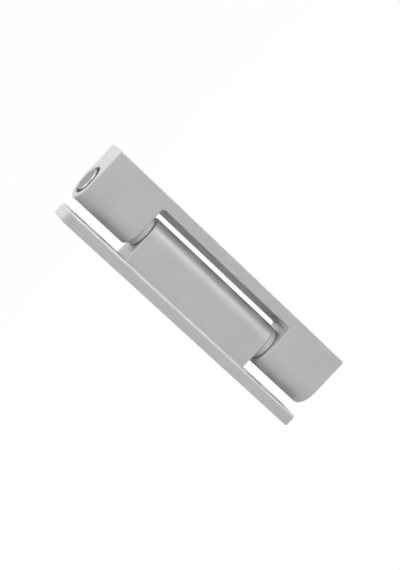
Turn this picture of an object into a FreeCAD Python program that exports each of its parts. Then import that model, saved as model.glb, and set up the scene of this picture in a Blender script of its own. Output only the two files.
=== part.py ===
import FreeCAD, Part
import math
import os
import Sketcher

# Door hinge of three knuckles: a bracket for the frame, a leaf for the sash,
# a pin in two bushes and a lock screw.
# Millimetres. Z runs up the pin, the frame face lies in the YZ plane and the hinge stands off it towards -X.

near = 0.001
quarter = math.pi / 2
doc = FreeCAD.newDocument("door_hinge")

# Driving dimensions: name, size, what it measures
sizes = (
    ("bracket_length", 120.0, "bracket, end to end"),
    ("bracket_depth", 16.6, "bracket, front to back, and width of its round knuckles"),
    ("knuckle_length", 25.95, "each knuckle of the bracket"),
    ("strap_thickness", 4.75, "strap between the knuckles"),
    ("lip_thickness", 1.7, "lip along the strap's rear, front to back"),
    ("lip_fillet", 1.0, "inside corner along the rear lip"),
    ("window_corner", 1.2, "inside corners between strap and knuckles"),
    ("window_rim", 1.0, "rounding round the window's rim"),
    ("bracket_side_edge", 0.4, "rounding of the long edges at the frame face"),
    ("bracket_end_edge", 0.3, "chamfer round the bracket's two ends"),
    ("recess_depth", 4.0, "recess in each outer end"),
    ("recess_room", 1.3, "recess round the pin head, on the radius"),
    ("recess_chamfer", 0.3, "mouth of each recess"),
    ("frame_hole_inset", 8.55, "outermost strap hole from the window's end"),
    ("screw_hole", 5.0, "clearance hole of every fixing screw"),
    ("countersink", 9.2, "countersink of every fixing screw, across"),
    ("countersink_angle", 90.0, "countersink, included angle"),
    ("leaf_drop", 0.95, "middle of the leaf plate below the middle of its barrel"),
    ("leaf_thickness", 4.9, "leaf plate"),
    ("leaf_ledge", 1.7, "leaf plate beyond the web, at each side"),
    ("leaf_corner", 2.0, "corners of the leaf plate"),
    ("leaf_edge", 1.0, "rounding of the plate's inner edges"),
    ("leaf_face_edge", 0.4, "chamfer round the plate's sash face"),
    ("end_hole_inset", 7.45, "outer screw hole from the leaf's end"),
    ("hole_spacing", 11.8, "between the two screw holes at each end of the leaf"),
    ("barrel_width", 14.0, "barrel and its web, front to back"),
    ("barrel_edge", 0.7, "rounding of the barrel's ends"),
    ("bush_wall", 1.2, "bush sleeve in its knuckle"),
    ("flange_thickness", 2.45, "bush flange, which shows as a ring"),
    ("flange_rim", 1.5, "bush flange beyond its sleeve, on the radius"),
    ("flange_edge", 0.3, "chamfer of the bush flange"),
    ("pin_width", 8.0, "pin shank, across"),
    ("head_rim", 0.8, "pin head beyond its shank, on the radius"),
    ("head_proud", 0.45, "pin head above the bracket's end"),
    ("head_edge", 0.45, "chamfer of the pin head"),
    ("pin_tail", 1.0, "pin below the lower bush"),
    ("tail_chamfer", 0.8, "pin's lower end"),
    ("lock_width", 5.0, "lock screw's hole, across"),
    ("lock_flats", 2.5, "lock screw's socket, across flats"),
    ("lock_floor", 1.25, "lock screw below its socket"),
    ("lock_chamfer", 0.4, "lock screw's outer edge"),
    ("lock_inset", 0.2, "lock screw below the barrel's rear face"),
    ("strap_clearance", 3.95, "strap to the barrel"),
    ("lip_clearance", 1.7, "rear lip to the path of the web"),
    ("leaf_clearance", 3.8, "knuckles to the leaf plate"),
    ("running_clearance", 0.05, "pin in its bushes, on the radius"),
    ("slip_clearance", 0.02, "pin in the barrel, on the radius"),
    ("thread_clearance", 0.05, "lock screw in its hole, on the radius"),
    ("point_clearance", 0.05, "lock screw's point off the pin"),
    ("seat_clearance", 0.05, "barrel above the lower bush"),
    ("lift_play", 0.3, "barrel below the upper bush"),
    ("head_clearance", 0.2, "pin head above the upper bush"),
)
sheet = doc.addObject("Spreadsheet::Sheet", "dim")
for row, (name, size, note) in enumerate(sizes, 1):
    sheet.set("A%d" % row, name)
    sheet.set("B%d" % row, str(size))
    sheet.setAlias("B%d" % row, name)
    sheet.set("C%d" % row, note)
doc.recompute()

# Lengths that follow from the driving dimensions, measured from the pin axis and the middle of the hinge
pin_radius = "(dim.pin_width / 2)"
head_radius = "(%s + dim.head_rim)" % pin_radius
bush_bore = "(%s + dim.running_clearance)" % pin_radius
seat_radius = "(%s + dim.bush_wall)" % bush_bore
flange_radius = "(%s + dim.flange_rim)" % seat_radius
barrel_radius = "(dim.barrel_width / 2)"
strap_inside = "(%s + dim.strap_clearance)" % barrel_radius
frame_face = "(%s + dim.strap_thickness)" % strap_inside
lip_edge = "(%s + dim.lip_clearance)" % barrel_radius
half_depth = "(dim.bracket_depth / 2)"
lip_front = "(%s - dim.lip_thickness)" % half_depth
half_length = "(dim.bracket_length / 2)"
half_window = "(%s - dim.knuckle_length)" % half_length
recess_floor = "(%s - dim.recess_depth)" % half_length
recess_radius = "(%s + dim.recess_room)" % head_radius
end_wall = "(%s - %s)" % (half_depth, recess_radius)
end_play = "(dim.seat_clearance + dim.lift_play)"
half_barrel = "(%s - dim.flange_thickness - %s / 2)" % (half_window, end_play)
leaf_height = "((dim.seat_clearance - dim.lift_play) / 2)"
leaf_inside = "(%s + dim.leaf_clearance)" % half_depth
sash_face = "(%s + dim.leaf_thickness)" % leaf_inside
half_leaf_depth = "(%s + dim.leaf_ledge)" % barrel_radius
head_top = "(%s + dim.head_proud)" % half_length
head_seat = "(%s + dim.head_clearance)" % recess_floor
pin_bottom = "(-%s - dim.pin_tail)" % recess_floor
lock_radius = "(dim.lock_width / 2 - dim.thread_clearance)"
lock_point = "(%s + dim.point_clearance)" % pin_radius
lock_face = "(%s - dim.lock_inset)" % barrel_radius
outside = "dim.bracket_length"

# Roundings and chamfers, each held back where its wall or its neighbour leaves less room
lip_rounding = "min(dim.lip_fillet; 0.85 * dim.window_corner; 0.6 * (%s - %s))" % (strap_inside, lip_edge)
rim_rounding = "min(dim.window_rim; 0.6 * dim.lip_thickness)"
end_chamfer = "min(dim.bracket_end_edge; 0.5 * %s)" % end_wall
mouth_chamfer = "min(dim.recess_chamfer; 0.3 * %s)" % end_wall
leaf_rounding = "min(dim.leaf_edge; 0.9 * dim.leaf_corner; 0.6 * dim.leaf_ledge)"
face_chamfer = "min(dim.leaf_face_edge; 0.9 * dim.leaf_corner)"
flange_chamfer = "min(dim.flange_edge; 0.4 * dim.flange_thickness)"


def value(formula):
    return float(sheet.evalExpression(formula))


def same(a, b):
    return abs(a - b) < near


def point(x, y):
    return FreeCAD.Vector(x, y, 0)


# Every body is drawn about the pin axis and set off from the frame face
def new_body(label, height="0"):
    body = doc.addObject("PartDesign::Body", label)
    body.Label = label
    body.setExpression("Placement.Base.x", "-" + frame_face)
    body.setExpression("Placement.Base.z", height)
    return body


def new_sketch(body, name, role, lift="0"):
    sketch = body.newObject("Sketcher::SketchObject", name)
    plane = [feature for feature in body.Origin.OriginFeatures if feature.Role == role][0]
    sketch.AttachmentSupport = [(plane, "")]
    sketch.MapMode = "FlatFace"
    sketch.setExpression("AttachmentOffset.Base.z", lift)
    return sketch


def hold(sketch, *constraint):
    sketch.addConstraint(Sketcher.Constraint(*constraint))


def dimension(sketch, formula, *constraint):
    index = sketch.addConstraint(Sketcher.Constraint(*constraint, value(formula)))
    sketch.setExpression("Constraints[%d]" % index, formula)


# Holds a point of the sketch at two formulas, or on an axis where the formula is nought
def locate(sketch, geometry, end, x, y):
    for formula, kind, axis in ((x, "DistanceX", -2), (y, "DistanceY", -1)):
        if formula == "0":
            hold(sketch, "PointOnObject", geometry, end, axis)
        else:
            dimension(sketch, formula, kind, -1, 1, geometry, end)


# A closed outline of straight lines through the given corners
def draw_outline(sketch, corners):
    places = [point(value(x), value(y)) for x, y in corners]
    count = len(places)
    for i in range(count):
        sketch.addGeometry(Part.LineSegment(places[i], places[(i + 1) % count]))
    for i in range(count):
        hold(sketch, "Coincident", i, 2, (i + 1) % count, 1)
    for i, (x, y) in enumerate(corners):
        locate(sketch, i, 1, x, y)


# A section that is round about the pin axis on one side and runs flat-sided to a square back
def draw_bullet(sketch, radius, back):
    end = value(back)
    r = math.copysign(value(radius), end)
    first = math.copysign(quarter, end)
    circle = Part.Circle(point(0, 0), FreeCAD.Vector(0, 0, 1), abs(r))
    sketch.addGeometry(Part.LineSegment(point(end, -r), point(end, r)))
    sketch.addGeometry(Part.LineSegment(point(end, r), point(0, r)))
    sketch.addGeometry(Part.ArcOfCircle(circle, first, first + 2 * quarter))
    sketch.addGeometry(Part.LineSegment(point(0, -r), point(end, -r)))
    hold(sketch, "Coincident", 0, 2, 1, 1)
    hold(sketch, "Tangent", 1, 2, 2, 1)
    hold(sketch, "Tangent", 2, 2, 3, 1)
    hold(sketch, "Coincident", 3, 2, 0, 1)
    hold(sketch, "Coincident", 2, 3, -1, 1)
    hold(sketch, "Vertical", 0)
    hold(sketch, "Horizontal", 1)
    hold(sketch, "Horizontal", 3)
    dimension(sketch, radius, "Radius", 2)
    dimension(sketch, back, "DistanceX", -1, 1, 0, 1)


# A notch across the pin axis, open on the side away from the frame, with two rounded inside corners
def draw_notch(sketch, inside, half_width, corner):
    far = "-" + outside
    x0, x1, h, r = value(far), value(inside), value(half_width), value(corner)
    axis = FreeCAD.Vector(0, 0, 1)
    low = Part.Circle(point(x1 - r, r - h), axis, r)
    high = Part.Circle(point(x1 - r, h - r), axis, r)
    sketch.addGeometry(Part.LineSegment(point(x0, -h), point(x1 - r, -h)))
    sketch.addGeometry(Part.ArcOfCircle(low, -quarter, 0))
    sketch.addGeometry(Part.LineSegment(point(x1, r - h), point(x1, h - r)))
    sketch.addGeometry(Part.ArcOfCircle(high, 0, quarter))
    sketch.addGeometry(Part.LineSegment(point(x1 - r, h), point(x0, h)))
    sketch.addGeometry(Part.LineSegment(point(x0, h), point(x0, -h)))
    for i in range(4):
        hold(sketch, "Tangent", i, 2, i + 1, 1)
    hold(sketch, "Coincident", 4, 2, 5, 1)
    hold(sketch, "Coincident", 5, 2, 0, 1)
    hold(sketch, "Horizontal", 0)
    hold(sketch, "Horizontal", 4)
    hold(sketch, "Vertical", 2)
    hold(sketch, "Symmetric", 5, 1, 5, 2, -1)
    hold(sketch, "Equal", 1, 3)
    dimension(sketch, corner, "Radius", 1)
    dimension(sketch, "2 * " + half_width, "DistanceY", 5, 2, 5, 1)
    dimension(sketch, inside, "DistanceX", -1, 1, 2, 1)
    dimension(sketch, far, "DistanceX", -1, 1, 5, 1)


def draw_circle(sketch, radius, x="0", y="0"):
    circle = Part.Circle(point(value(x), value(y)), FreeCAD.Vector(0, 0, 1), value(radius))
    index = sketch.addGeometry(circle)
    dimension(sketch, radius, "Radius", index)
    locate(sketch, index, 3, x, y)


def draw_hexagon(sketch, flats):
    corner = "(%s / sqrt(3))" % flats
    half = "(%s / sqrt(3) / 2)" % flats
    side = "(%s / 2)" % flats
    draw_outline(sketch, (
        (corner, "0"), (half, side), ("-" + half, side),
        ("-" + corner, "0"), ("-" + half, "-" + side), (half, "-" + side),
    ))


def pad(body, sketch, length, side="Symmetric", backwards=False):
    feature = body.newObject("PartDesign::Pad", sketch.Name + "_pad")
    feature.Profile = sketch
    feature.SideType = side
    feature.Reversed = backwards
    feature.setExpression("Length", length)
    doc.recompute()


# A cut that misses the solid shows no error, so its volume is compared
def check_cut(feature, before):
    if feature.Shape.Volume > before - near:
        raise RuntimeError(feature.Name + " cuts nothing")


# Right through when no length is given
def pocket(body, sketch, length=None, side="One side", backwards=False):
    before = body.Shape.Volume
    feature = body.newObject("PartDesign::Pocket", sketch.Name + "_pocket")
    feature.Profile = sketch
    feature.SideType = side
    feature.Reversed = backwards
    if length:
        feature.setExpression("Length", length)
    else:
        feature.Type = "ThroughAll"
    doc.recompute()
    check_cut(feature, before)


def revolve(body, sketch, kind):
    feature = body.newObject("PartDesign::" + kind, sketch.Name + "_turned")
    feature.Profile = sketch
    feature.ReferenceAxis = (sketch, ["V_Axis"])
    feature.Angle = 360
    doc.recompute()


# Rounds or chamfers the edges whose points all pass the test, and what runs on from them smoothly
def soften(body, name, kind, size, formula, test):
    base = body.Tip
    numbers = [n for n, edge in enumerate(base.Shape.Edges, 1) if all(test(p) for p in edge.discretize(5))]
    if not numbers:
        raise RuntimeError(name + " finds no edge")
    feature = body.newObject("PartDesign::" + kind, name)
    feature.Base = (base, ["Edge%d" % n for n in numbers])
    feature.setExpression(size, formula)
    doc.recompute()


def fillet(body, name, radius, test):
    soften(body, name, "Fillet", "Radius", radius, test)


def chamfer(body, name, size, test):
    soften(body, name, "Chamfer", "Size", size, test)


# Countersunk screw holes down the middle of a plate, drilled from its inside
def screw_holes(body, name, inside, heights, backwards):
    sketch = new_sketch(body, name, "YZ_Plane", inside)
    for height in heights:
        draw_circle(sketch, "(dim.screw_hole / 2)", "0", height)
    doc.recompute()
    before = body.Shape.Volume
    hole = body.newObject("PartDesign::Hole", name + "_drilled")
    hole.Profile = sketch
    hole.Reversed = backwards
    hole.ThreadType = "None"
    hole.DepthType = "ThroughAll"
    hole.DrillPoint = "Flat"
    hole.HoleCutType = "Countersink"
    hole.HoleCutCustomValues = True
    hole.setExpression("Diameter", "dim.screw_hole")
    hole.setExpression("HoleCutDiameter", "dim.countersink")
    hole.setExpression("HoleCutCountersinkAngle", "dim.countersink_angle")
    doc.recompute()
    check_cut(hole, before)


# Frame bracket: one bullet section, with a window cut for the barrel
def make_bracket():
    body = new_body("frame_bracket")
    section = new_sketch(body, "bracket_section", "XY_Plane")
    draw_bullet(section, half_depth, frame_face)
    pad(body, section, "dim.bracket_length")

    # the window is cut from the front down to the rear lip, and then past the lip right through
    front = new_sketch(body, "window_front", "XZ_Plane", "-" + lip_front)
    draw_notch(front, strap_inside, half_window, "dim.window_corner")
    pocket(body, front, backwards=True)
    floor = value(lip_front)
    fillet(body, "lip_round", lip_rounding, lambda p: same(p.y, floor) and p.x > 0)
    through = new_sketch(body, "window_through", "XZ_Plane")
    draw_notch(through, lip_edge, half_window, "dim.window_corner")
    pocket(body, through, side="Symmetric")

    # the window's rim is one unbroken rounded edge round both knuckles, the strap and the lip
    radius = value(half_depth)
    reach = value(half_window)
    end = value(half_length)
    back = value(frame_face)

    def on_rim(p):
        skin = same(abs(p.y), radius) or (p.x < near and same(math.hypot(p.x, p.y), radius))
        return skin and abs(p.z) < reach + near and p.x < back - near

    fillet(body, "window_rim_round", rim_rounding, on_rim)
    fillet(body, "side_edges", "dim.bracket_side_edge", lambda p: same(abs(p.y), radius) and same(p.x, back))
    chamfer(body, "end_edges", end_chamfer, lambda p: same(abs(p.z), end))

    # bush seats and end recesses, turned about the pin axis
    bore = new_sketch(body, "knuckle_bore", "XZ_Plane")
    draw_outline(bore, (
        ("0", outside), (recess_radius, outside), (recess_radius, recess_floor), (seat_radius, recess_floor),
        (seat_radius, "-" + recess_floor), (recess_radius, "-" + recess_floor),
        (recess_radius, "-" + outside), ("0", "-" + outside),
    ))
    revolve(body, bore, "Groove")
    mouth = value(recess_radius)
    chamfer(body, "recess_mouths", mouth_chamfer,
            lambda p: same(abs(p.z), end) and same(math.hypot(p.x, p.y), mouth))

    last = "(%s - dim.frame_hole_inset)" % half_window
    heights = ("-" + last, "-%s / 3" % last, "%s / 3" % last, last)
    screw_holes(body, "frame_holes", strap_inside, heights, True)
    return body


# Sash leaf: a flat plate that carries the barrel on a web
def make_leaf():
    body = new_body("sash_leaf", leaf_height)
    plate = new_sketch(body, "leaf_plate", "XY_Plane", "-dim.leaf_drop")
    draw_outline(plate, (
        ("-" + sash_face, "-" + half_leaf_depth), ("-" + leaf_inside, "-" + half_leaf_depth),
        ("-" + leaf_inside, half_leaf_depth), ("-" + sash_face, half_leaf_depth),
    ))
    pad(body, plate, "dim.bracket_length")
    end = value(half_length)
    drop = value("dim.leaf_drop")
    side = value(half_leaf_depth)
    inside = -value(leaf_inside)
    face = -value(sash_face)
    fillet(body, "leaf_corners", "dim.leaf_corner",
           lambda p: same(abs(p.z + drop), end) and same(abs(p.y), side))
    fillet(body, "leaf_inner_edge", leaf_rounding, lambda p: same(p.x, inside))
    chamfer(body, "leaf_face_rim", face_chamfer, lambda p: same(p.x, face))

    # barrel and web are one bullet section, sunk to the middle of the plate
    barrel = new_sketch(body, "barrel_section", "XY_Plane")
    draw_bullet(barrel, barrel_radius, "-(%s + dim.leaf_thickness / 2)" % leaf_inside)
    pad(body, barrel, "2 * " + half_barrel)
    reach = value(half_barrel)

    def on_barrel_end(p):
        return same(abs(p.z), reach) and p.x > inside - near

    fillet(body, "barrel_ends", "dim.barrel_edge", lambda p: on_barrel_end(p) and not same(p.x, inside))

    bore = new_sketch(body, "barrel_bore", "XY_Plane")
    draw_circle(bore, "(%s + dim.slip_clearance)" % pin_radius)
    pocket(body, bore, side="Symmetric")
    lock = new_sketch(body, "lock_hole", "XZ_Plane")
    draw_circle(lock, "(dim.lock_width / 2)")
    pocket(body, lock)

    outer = "(%s - dim.end_hole_inset)" % half_length
    inner = "(%s - dim.hole_spacing)" % outer
    heights = ["(%s%s - dim.leaf_drop)" % (sign, place) for place in (outer, inner) for sign in ("-", "")]
    screw_holes(body, "leaf_holes", "-" + leaf_inside, heights, False)
    return body


# Flanged bush: its sleeve fills the knuckle's bore and its flange lies against the knuckle's inner end
def make_bush(label, height, upside_down):
    body = new_body(label, height)
    if upside_down:
        body.Placement.Rotation = FreeCAD.Rotation(FreeCAD.Vector(1, 0, 0), 180)
    sleeve = "(dim.knuckle_length - dim.recess_depth)"
    section = new_sketch(body, label + "_section", "XZ_Plane")
    draw_outline(section, (
        (bush_bore, "-dim.flange_thickness"), (flange_radius, "-dim.flange_thickness"), (flange_radius, "0"),
        (seat_radius, "0"), (seat_radius, sleeve), (bush_bore, sleeve),
    ))
    revolve(body, section, "Revolution")
    rim = value(flange_radius)
    ends = (0, -value("dim.flange_thickness"))
    chamfer(body, label + "_edges", flange_chamfer,
            lambda p: same(math.hypot(p.x, p.y), rim) and min(abs(p.z - z) for z in ends) < near)
    return body


# Round-headed pin: its head stands in the upper recess, and its tail shows in the lower one
def make_pin():
    body = new_body("hinge_pin")
    section = new_sketch(body, "pin_section", "XZ_Plane")
    draw_outline(section, (
        ("0", pin_bottom), ("(%s - dim.tail_chamfer)" % pin_radius, pin_bottom),
        (pin_radius, "(%s + dim.tail_chamfer)" % pin_bottom), (pin_radius, head_seat),
        (head_radius, head_seat), (head_radius, head_top), ("0", head_top),
    ))
    revolve(body, section, "Revolution")
    top = value(head_top)
    chamfer(body, "head_rim_chamfer", "dim.head_edge", lambda p: same(p.z, top))
    return body


# Socket set screw in the rear of the barrel, its point close to the pin
def make_lock_screw():
    body = new_body("pin_lock_screw", leaf_height)
    section = new_sketch(body, "lock_section", "XZ_Plane", "-" + lock_point)
    draw_circle(section, lock_radius)
    pad(body, section, "(%s - %s)" % (lock_face, lock_point), "One side", True)
    face = value(lock_face)
    chamfer(body, "lock_rim", "dim.lock_chamfer", lambda p: same(p.y, face))
    socket = new_sketch(body, "lock_socket", "XZ_Plane", "-" + lock_face)
    draw_hexagon(socket, "dim.lock_flats")
    pocket(body, socket, "(%s - %s - dim.lock_floor)" % (lock_face, lock_point), backwards=True)
    return body


pieces = (
    make_bracket(),
    make_leaf(),
    make_bush("upper_bush", half_window, False),
    make_bush("lower_bush", "-" + half_window, True),
    make_pin(),
    make_lock_screw(),
)
doc.recompute()

# Nothing is written unless every object is sound
for thing in doc.Objects:
    if "Invalid" in thing.State or "Error" in thing.State:
        raise RuntimeError(thing.Label + " did not build")
for piece in pieces:
    if piece.Shape.isNull() or not piece.Shape.isValid() or len(piece.Shape.Solids) != 1:
        raise RuntimeError(piece.Label + " is not one sound solid")

os.makedirs("parts", exist_ok=True)
for piece in pieces:
    piece.Shape.exportStep("parts/%s.step" % piece.Label)
    print(piece.Label, "volume %.1f" % piece.Shape.Volume)
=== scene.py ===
from math import radians
import bpy
from mathutils import Matrix, Vector


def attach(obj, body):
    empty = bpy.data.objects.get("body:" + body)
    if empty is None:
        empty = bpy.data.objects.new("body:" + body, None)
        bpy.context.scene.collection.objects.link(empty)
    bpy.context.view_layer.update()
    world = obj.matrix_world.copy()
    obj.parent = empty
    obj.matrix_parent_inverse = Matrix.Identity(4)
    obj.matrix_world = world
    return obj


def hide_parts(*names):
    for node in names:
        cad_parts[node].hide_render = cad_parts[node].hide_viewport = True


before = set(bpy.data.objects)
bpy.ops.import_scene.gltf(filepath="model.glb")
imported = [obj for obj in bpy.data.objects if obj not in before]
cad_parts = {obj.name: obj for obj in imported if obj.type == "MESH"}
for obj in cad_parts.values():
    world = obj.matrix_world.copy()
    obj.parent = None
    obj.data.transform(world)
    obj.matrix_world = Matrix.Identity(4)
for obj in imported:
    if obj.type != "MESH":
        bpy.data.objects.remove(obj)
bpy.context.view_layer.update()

scene = bpy.context.scene
scene.view_settings.view_transform = "Standard"

noiseSpan = {"low": 0.3, "high": 0.7}  # noise seldom leaves this span, so ramps are stretched over it
# a Mix node's colour sockets, whose names aren't unique
mixSocket = {"share": 0, "first": 6, "second": 7, "result": 2}


def newMaterial(name):
    made = bpy.data.materials.new(name)
    made.use_nodes = True
    return made, made.node_tree.nodes, made.node_tree.links


def addNode(nodes, kind, **settings):
    node = nodes.new(kind)
    for key, value in settings.items():
        if key in node.inputs:
            node.inputs[key].default_value = value
        else:
            setattr(node, key, value)
    return node


def addNoise(nodes, links, place, scale, detail):
    noise = addNode(nodes, "ShaderNodeTexNoise", Scale=scale, Detail=detail)
    links.new(place, noise.inputs["Vector"])
    return noise.outputs["Fac"]


def addRamp(nodes, links, source, dark, light):
    ramp = addNode(nodes, "ShaderNodeValToRGB")
    first, last = ramp.color_ramp.elements
    first.position, first.color = noiseSpan["low"], dark
    last.position, last.color = noiseSpan["high"], light
    links.new(source, ramp.inputs["Fac"])
    return ramp.outputs["Color"]


def addSpread(nodes, links, source, low, high):
    spread = addNode(nodes, "ShaderNodeMapRange")
    spread.inputs["From Min"].default_value = noiseSpan["low"]
    spread.inputs["From Max"].default_value = noiseSpan["high"]
    spread.inputs["To Min"].default_value = low
    spread.inputs["To Max"].default_value = high
    links.new(source, spread.inputs["Value"])
    return spread.outputs["Result"]


def addMath(nodes, links, operation, first, second):
    result = addNode(nodes, "ShaderNodeMath", operation=operation)
    links.new(first, result.inputs[0])
    if isinstance(second, float):
        result.inputs[1].default_value = second
    else:
        links.new(second, result.inputs[1])
    return result.outputs[0]


def addMarkedTone(nodes, links, share, tone, markedTone):
    mix = addNode(nodes, "ShaderNodeMix", data_type="RGBA")
    links.new(share, mix.inputs[mixSocket["share"]])
    links.new(tone, mix.inputs[mixSocket["first"]])
    mix.inputs[mixSocket["second"]].default_value = markedTone
    return mix.outputs[mixSocket["result"]]


def addMark(nodes, name):
    return addNode(nodes, "ShaderNodeAttribute", attribute_name=name).outputs["Fac"]


def addRoughness(nodes, links, source, shader, low, high):
    links.new(addSpread(nodes, links, source, low, high), shader.inputs["Roughness"])


def addBump(nodes, links, source, shader, strength, depth):
    bump = addNode(nodes, "ShaderNodeBump", Strength=strength, Distance=depth)
    links.new(source, bump.inputs["Height"])
    links.new(bump.outputs["Normal"], shader.inputs["Normal"])


# satin silver coat of the bracket and the leaf: soft clouds of tone, a fine grain, edges rubbed brighter in patches
satinCoat = {
    "dark": (0.54, 0.54, 0.543, 1),
    "light": (0.58, 0.58, 0.583, 1),
    "rubbed": (0.68, 0.68, 0.682, 1),
    "wearScale": 260.0,
    "wearDetail": 3.0,
    "wearLeast": 0.2,
    "wearMost": 1.0,
    "cloudScale": 90.0,
    "cloudDetail": 4.0,
    "grainScale": 2600.0,
    "grainDetail": 3.0,
    "grainStrength": 0.12,
    "grainDepth": 0.00002,
    "roughLow": 0.44,
    "roughHigh": 0.52,
    "metallic": 0.35,
}


def makeSatinCoat():
    made, nodes, links = newMaterial("satinSilverCoat")
    shader = nodes["Principled BSDF"]
    shader.inputs["Metallic"].default_value = satinCoat["metallic"]
    place = addNode(nodes, "ShaderNodeTexCoord").outputs["Object"]
    cloud = addNoise(nodes, links, place, satinCoat["cloudScale"], satinCoat["cloudDetail"])
    grain = addNoise(nodes, links, place, satinCoat["grainScale"], satinCoat["grainDetail"])
    wear = addNoise(nodes, links, place, satinCoat["wearScale"], satinCoat["wearDetail"])
    tone = addRamp(nodes, links, cloud, satinCoat["dark"], satinCoat["light"])
    worn = addSpread(nodes, links, wear, satinCoat["wearLeast"], satinCoat["wearMost"])
    patches = addMath(nodes, links, "MULTIPLY", addMark(nodes, "rubbedEdge"), worn)
    coat = addMarkedTone(nodes, links, patches, tone, satinCoat["rubbed"])
    links.new(coat, shader.inputs["Base Color"])
    addRoughness(nodes, links, grain, shader, satinCoat["roughLow"], satinCoat["roughHigh"])
    addBump(nodes, links, grain, shader, satinCoat["grainStrength"], satinCoat["grainDepth"])
    return made


# ground steel: fine turned rings about the piece's own axis, a thin film of oil that clouds its sheen, and a
# brighter head chamfer that is partly a painted highlight
groundSteel = {
    "dark": (0.26, 0.26, 0.265, 1),
    "light": (0.33, 0.33, 0.335, 1),
    "cut": (0.50, 0.50, 0.505, 1),  # the head's turned chamfer is brighter than its ground face; part of this is a painted highlight standing in for the glint on it
    "edgeTint": (0.5, 0.5, 0.5, 1),
    "ringScale": 2600.0,
    "ringDistortion": 1.5,
    "ringDetail": 2.0,
    "ringStrength": 0.25,
    "ringDepth": 0.000008,
    "filmScale": 700.0,
    "filmDetail": 3.0,
    "roughLow": 0.28,
    "roughHigh": 0.40,
    "metallic": 1.0,
}
pinTurning = {"name": "turnedSteel", "shift": (0.0157, 0, 0), "about": "Z"}  # the shift puts its axis at the origin
screwTurning = {"name": "screwSteel", "shift": (0.0157, 0, 0.000125), "about": "Y"}


def makeGroundSteel(turning):
    made, nodes, links = newMaterial(turning["name"])
    shader = nodes["Principled BSDF"]
    shader.inputs["Metallic"].default_value = groundSteel["metallic"]
    shader.inputs["Specular Tint"].default_value = groundSteel["edgeTint"]
    place = addNode(nodes, "ShaderNodeTexCoord").outputs["Object"]
    onAxis = addNode(nodes, "ShaderNodeMapping", Location=turning["shift"])
    links.new(place, onAxis.inputs["Vector"])
    wave = addNode(nodes, "ShaderNodeTexWave", wave_type="RINGS", rings_direction=turning["about"],
                   Scale=groundSteel["ringScale"], Distortion=groundSteel["ringDistortion"],
                   Detail=groundSteel["ringDetail"])
    links.new(onAxis.outputs["Vector"], wave.inputs["Vector"])
    rings = wave.outputs["Fac"]
    film = addNoise(nodes, links, onAxis.outputs["Vector"], groundSteel["filmScale"], groundSteel["filmDetail"])
    tone = addRamp(nodes, links, rings, groundSteel["dark"], groundSteel["light"])
    # the head's chamfer gets a brighter steel, partly a painted highlight
    steel = addMarkedTone(nodes, links, addMark(nodes, "brightCutAndPaintedGlint"), tone, groundSteel["cut"])
    links.new(steel, shader.inputs["Base Color"])
    addRoughness(nodes, links, film, shader, groundSteel["roughLow"], groundSteel["roughHigh"])
    addBump(nodes, links, rings, shader, groundSteel["ringStrength"], groundSteel["ringDepth"])
    return made


# moulded grey plastic of the two bushes: a faint flow of tone, a spark-eroded skin, and painted shade in the seam
# beside the knuckles
bushPlastic = {
    "dark": (0.60, 0.60, 0.60, 1),
    "light": (0.67, 0.67, 0.67, 1),
    "paintedSeamShade": (0.26, 0.26, 0.258, 1),  # painted shade in the seam between flange and knuckle
    "flowScale": 240.0,
    "flowDetail": 2.0,
    "skinScale": 4200.0,
    "skinDetail": 2.0,
    "skinStrength": 0.15,
    "skinDepth": 0.000015,
    "roughLow": 0.30,
    "roughHigh": 0.40,
}


def makeBushPlastic():
    made, nodes, links = newMaterial("bushPlastic")
    shader = nodes["Principled BSDF"]
    place = addNode(nodes, "ShaderNodeTexCoord").outputs["Object"]
    flow = addNoise(nodes, links, place, bushPlastic["flowScale"], bushPlastic["flowDetail"])
    skin = addNoise(nodes, links, place, bushPlastic["skinScale"], bushPlastic["skinDetail"])
    tone = addRamp(nodes, links, flow, bushPlastic["dark"], bushPlastic["light"])
    # the flanges' chamfers beside the knuckles are painted dark: painted shade in the seam
    plastic = addMarkedTone(nodes, links, addMark(nodes, "paintedShadeSeam"), tone, bushPlastic["paintedSeamShade"])
    links.new(plastic, shader.inputs["Base Color"])
    addRoughness(nodes, links, skin, shader, bushPlastic["roughLow"], bushPlastic["roughHigh"])
    addBump(nodes, links, skin, shader, bushPlastic["skinStrength"], bushPlastic["skinDepth"])
    return made


satinFinish = makeSatinCoat()
pinFinish = makeGroundSteel(pinTurning)
screwFinish = makeGroundSteel(screwTurning)
bushFinish = makeBushPlastic()
print("four finishes made")

# each piece: the node it stands for, its body, slot and finish, and how far its sharp edges are broken, in metres
softPieces = {
    "bracketCasting": {
        "node": "frame_bracket", "body": "bracket", "slot": "satin_metal", "finish": satinFinish,
        "edge": 0.0001, "clamp": True,
    },
    "leafCasting": {
        "node": "sash_leaf", "body": "leaf", "slot": "satin_metal", "finish": satinFinish,
        "edge": 0.00008, "clamp": False,  # its smallest faces would clamp the break to nothing
    },
    "upperBushRing": {
        "node": "upper_bush", "body": "bracket", "slot": "bush", "finish": bushFinish,
        "edge": 0.00012, "clamp": True,
    },
    "lowerBushRing": {
        "node": "lower_bush", "body": "bracket", "slot": "bush", "finish": bushFinish,
        "edge": 0.00012, "clamp": True,
    },
    "turnedPin": {
        "node": "hinge_pin", "body": "leaf", "slot": "pin_steel", "finish": pinFinish,
        "edge": 0.00012, "clamp": True,
    },
    "lockScrew": {
        "node": "pin_lock_screw", "body": "leaf", "slot": "pin_steel", "finish": screwFinish,
        "edge": 0.00008, "clamp": True,
    },
}
softening = {
    "sharp": radians(40),
    "flat": radians(0.4),
    "weld": 0.000001,
    "segments": 3,
    "normalWeight": 80,
}

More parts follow.
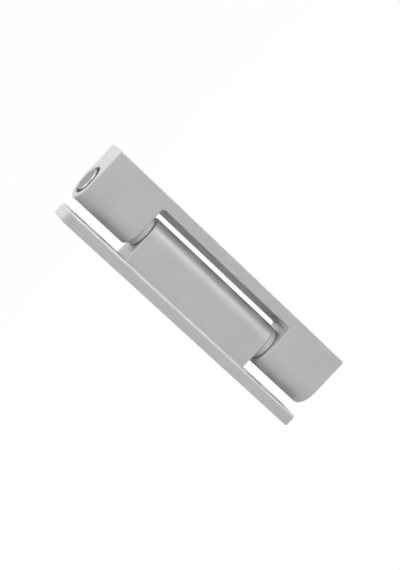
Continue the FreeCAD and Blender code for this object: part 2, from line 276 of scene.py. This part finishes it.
# where the finishes change, in metres in the part's own frame
edgeStrip = {"corners": 4, "width": 0.00018, "tip": 0.0006}  # narrow strips lie on edges, small triangles on corners
barrelRound = {"axis": -0.0157, "radius": 0.007, "margin": 0.00003}  # narrow faces here are no edges
knuckleRim = {"from": 0.0335, "to": 0.0355, "foot": -0.025}  # these rims in the window keep their coat
headChamfer = {"above": 0.0600, "steep": 0.3, "flat": 0.95}  # sloping faces at the pin's top, which get the brighter steel with its painted highlight
flangeSeam = {"from": 0.03372, "to": 0.03407, "flat": 0.95}  # the flanges' chamfers beside the knuckles, which get the painted shade


def isRubbedEdge(face):
    corners = [face.id_data.vertices[index].co for index in face.vertices]
    longest = max((a - b).length for a, b in zip(corners, corners[1:] + corners[:1]))
    onEdge = len(corners) == edgeStrip["corners"] or longest < edgeStrip["tip"]
    narrow = face.area < longest * edgeStrip["width"]
    reach = Vector((face.center.x - barrelRound["axis"], face.center.y)).length
    onBarrel = abs(reach - barrelRound["radius"]) < barrelRound["margin"]
    besideWindow = knuckleRim["from"] < abs(face.center.z) < knuckleRim["to"]
    onRim = besideWindow and face.center.x > knuckleRim["foot"]
    return narrow and onEdge and not onBarrel and not onRim


def isHeadChamfer(face):
    sloping = headChamfer["steep"] < face.normal.z < headChamfer["flat"]
    return sloping and face.center.z > headChamfer["above"]


# finds the flange chamfers that get the painted seam shade
def isFlangeSeam(face):
    besideKnuckle = flangeSeam["from"] < abs(face.center.z) < flangeSeam["to"]
    return besideKnuckle and abs(face.normal.z) < flangeSeam["flat"]


faceMarks = {"rubbedEdge": isRubbedEdge, "brightCutAndPaintedGlint": isHeadChamfer, "paintedShadeSeam": isFlangeSeam}


def markFaces(mesh):
    for name, test in faceMarks.items():
        marks = mesh.attributes.new(name, "FLOAT", "FACE")
        for face in mesh.polygons:
            marks.data[face.index].value = 1.0 if test(face) else 0.0


def applyModifier(piece, kind, **settings):
    modifier = piece.modifiers.new(kind.lower(), kind)
    for key, value in settings.items():
        setattr(modifier, key, value)
    bpy.ops.object.modifier_apply(modifier=modifier.name)


def enterMesh():
    bpy.ops.object.mode_set(mode="EDIT")
    bpy.ops.mesh.select_all(action="SELECT")


def makeSoftPiece(name, plan):
    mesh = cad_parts[plan["node"]].data.copy()
    mesh.name = name
    piece = bpy.data.objects.new(name, mesh)
    scene.collection.objects.link(piece)
    bpy.ops.object.select_all(action="DESELECT")
    piece.select_set(True)
    bpy.context.view_layer.objects.active = piece
    enterMesh()
    bpy.ops.mesh.remove_doubles(threshold=softening["weld"])  # the CAD triangles come loose
    bpy.ops.mesh.customdata_custom_splitnormals_clear()
    bpy.ops.mesh.dissolve_limited(angle_limit=softening["flat"])  # flats become single faces
    bpy.ops.object.mode_set(mode="OBJECT")
    applyModifier(piece, "BEVEL", limit_method="ANGLE", angle_limit=softening["sharp"], width=plan["edge"],
                  segments=softening["segments"], use_clamp_overlap=plan["clamp"])
    enterMesh()
    bpy.ops.mesh.dissolve_degenerate(threshold=softening["weld"])  # slivers where two edge breaks meet
    bpy.ops.mesh.remove_doubles(threshold=softening["weld"])
    bpy.ops.object.mode_set(mode="OBJECT")
    bpy.ops.object.shade_smooth_by_angle(angle=softening["sharp"])
    applyModifier(piece, "WEIGHTED_NORMAL", mode="FACE_AREA", weight=softening["normalWeight"], keep_sharp=True)
    markFaces(piece.data)
    piece.data.materials.clear()
    piece.data.materials.append(plan["finish"])
    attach(piece, plan["body"])
    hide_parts(plan["node"])
    print(name, "softened,", len(piece.data.polygons), "faces")


for name, plan in softPieces.items():
    makeSoftPiece(name, plan)

# white studio: floor well below the hinge, white world behind
studio = {
    "white": (1, 1, 1, 1),
    "whiteLevel": 1.0,   # what the camera and reflections see of the world
    "worldLevel": 0.40,  # what lights the hinge
    "floorHeight": -0.20,
    "floorSize": 12.0,
    "floorTone": (0.86, 0.86, 0.86, 1),
    "floorRough": 0.9,
    "floorWhite": 0.93,  # the rest is the floor's own shade, which keeps the shadow
    "floorLevel": 1.035,
}


def seesBackground(nodes, links):
    path = addNode(nodes, "ShaderNodeLightPath").outputs
    direct = addMath(nodes, links, "MAXIMUM", path["Is Camera Ray"], path["Is Glossy Ray"])
    return addMath(nodes, links, "MAXIMUM", direct, path["Is Transmission Ray"])


def mixShaders(nodes, links, share, lit, white, target):
    mix = addNode(nodes, "ShaderNodeMixShader")
    links.new(share, mix.inputs["Fac"])
    links.new(lit.outputs[0], mix.inputs[1])
    links.new(white.outputs[0], mix.inputs[2])
    links.new(mix.outputs[0], nodes[target].inputs["Surface"])


def makeWorld():
    world = bpy.data.worlds.new("whiteStudio")
    world.use_nodes = True
    scene.world = world
    nodes, links = world.node_tree.nodes, world.node_tree.links
    lit = nodes["Background"]
    lit.inputs["Color"].default_value = studio["white"]
    lit.inputs["Strength"].default_value = studio["worldLevel"]
    white = addNode(nodes, "ShaderNodeBackground", Color=studio["white"], Strength=studio["whiteLevel"])
    mixShaders(nodes, links, seesBackground(nodes, links), lit, white, "World Output")


def makeFloor():
    bpy.ops.object.select_all(action="DESELECT")
    bpy.ops.mesh.primitive_plane_add(size=studio["floorSize"], location=(0, 0, studio["floorHeight"]))
    floor = bpy.context.object
    floor.name = "studioFloor"
    made, nodes, links = newMaterial("paleFloor")
    matt = nodes["Principled BSDF"]
    matt.inputs["Base Color"].default_value = studio["floorTone"]
    matt.inputs["Roughness"].default_value = studio["floorRough"]
    white = addNode(nodes, "ShaderNodeEmission", Color=studio["white"], Strength=studio["floorLevel"])
    share = addMath(nodes, links, "MULTIPLY", seesBackground(nodes, links), studio["floorWhite"])
    mixShaders(nodes, links, share, matt, white, "Material Output")
    floor.data.materials.append(made)


# soft panels aimed at the hinge: places and widths in metres, powers in watts
lamps = {
    "topPanel": {"place": (0.50, -0.20, 0.62), "width": 0.6, "power": 1.3},
    "endPanel": {"place": (0.10, 0.40, 0.62), "width": 0.7, "power": 0.9},
    "sidePanel": {"place": (0.62, -0.36, -0.24), "width": 0.6, "power": 3.2},
    "frontPanel": {"place": (0.60, -0.48, 0.15), "width": 0.5, "power": 0.3},
    "edgePanel": {"place": (0.74, -0.15, -0.24), "width": 0.5, "power": 1.6},
    "backPanel": {"place": (0.0, 0.75, 0.26), "width": 0.6, "power": 0.55},
    "underPanel": {"place": (-0.48, -0.18, 0.58), "width": 0.5, "power": 1.2},
}


def makeLamp(name, lamp):
    place = Vector(lamp["place"])
    bpy.ops.object.light_add(type="AREA", location=place)
    made = bpy.context.object
    made.name = name
    made.rotation_euler = (-place).to_track_quat("-Z", "Y").to_euler()
    made.data.shape = "DISK"
    made.data.size = lamp["width"]
    made.data.energy = lamp["power"]
    made.visible_camera = False


makeWorld()
makeFloor()
for name, lamp in lamps.items():
    makeLamp(name, lamp)
print("studio set with", len(lamps), "lamps")

# the photograph's viewpoint, with lengths in metres and the lens and its sensor in millimetres
viewpoint = {
    "aim": (-0.015929, 0, 0.001093),
    "distance": 0.560,
    "tilt": 20.132,   # degrees above the hinge's own level
    "side": 0.7,      # degrees towards the frame face
    "roll": -46.976,  # degrees, since the hinge lies aslant in the picture
    "lens": 95.053,
    "sensor": 36,
}


def makeCamera():
    lean = Matrix.Rotation(radians(90 - viewpoint["tilt"]), 3, "X")
    turn = Matrix.Rotation(radians(viewpoint["side"]), 3, "Z")
    roll = Matrix.Rotation(radians(viewpoint["roll"]), 3, "Z")
    away = turn @ lean @ Vector((0, 0, viewpoint["distance"]))
    bpy.ops.object.camera_add(location=Vector(viewpoint["aim"]) + away)
    made = bpy.context.object
    made.name = "photoCamera"
    made.rotation_euler = (turn @ lean @ roll).to_euler()
    made.data.lens = viewpoint["lens"]
    made.data.sensor_width = viewpoint["sensor"]
    scene.camera = made


makeCamera()
print("camera set")

bpy.context.view_layer.update()
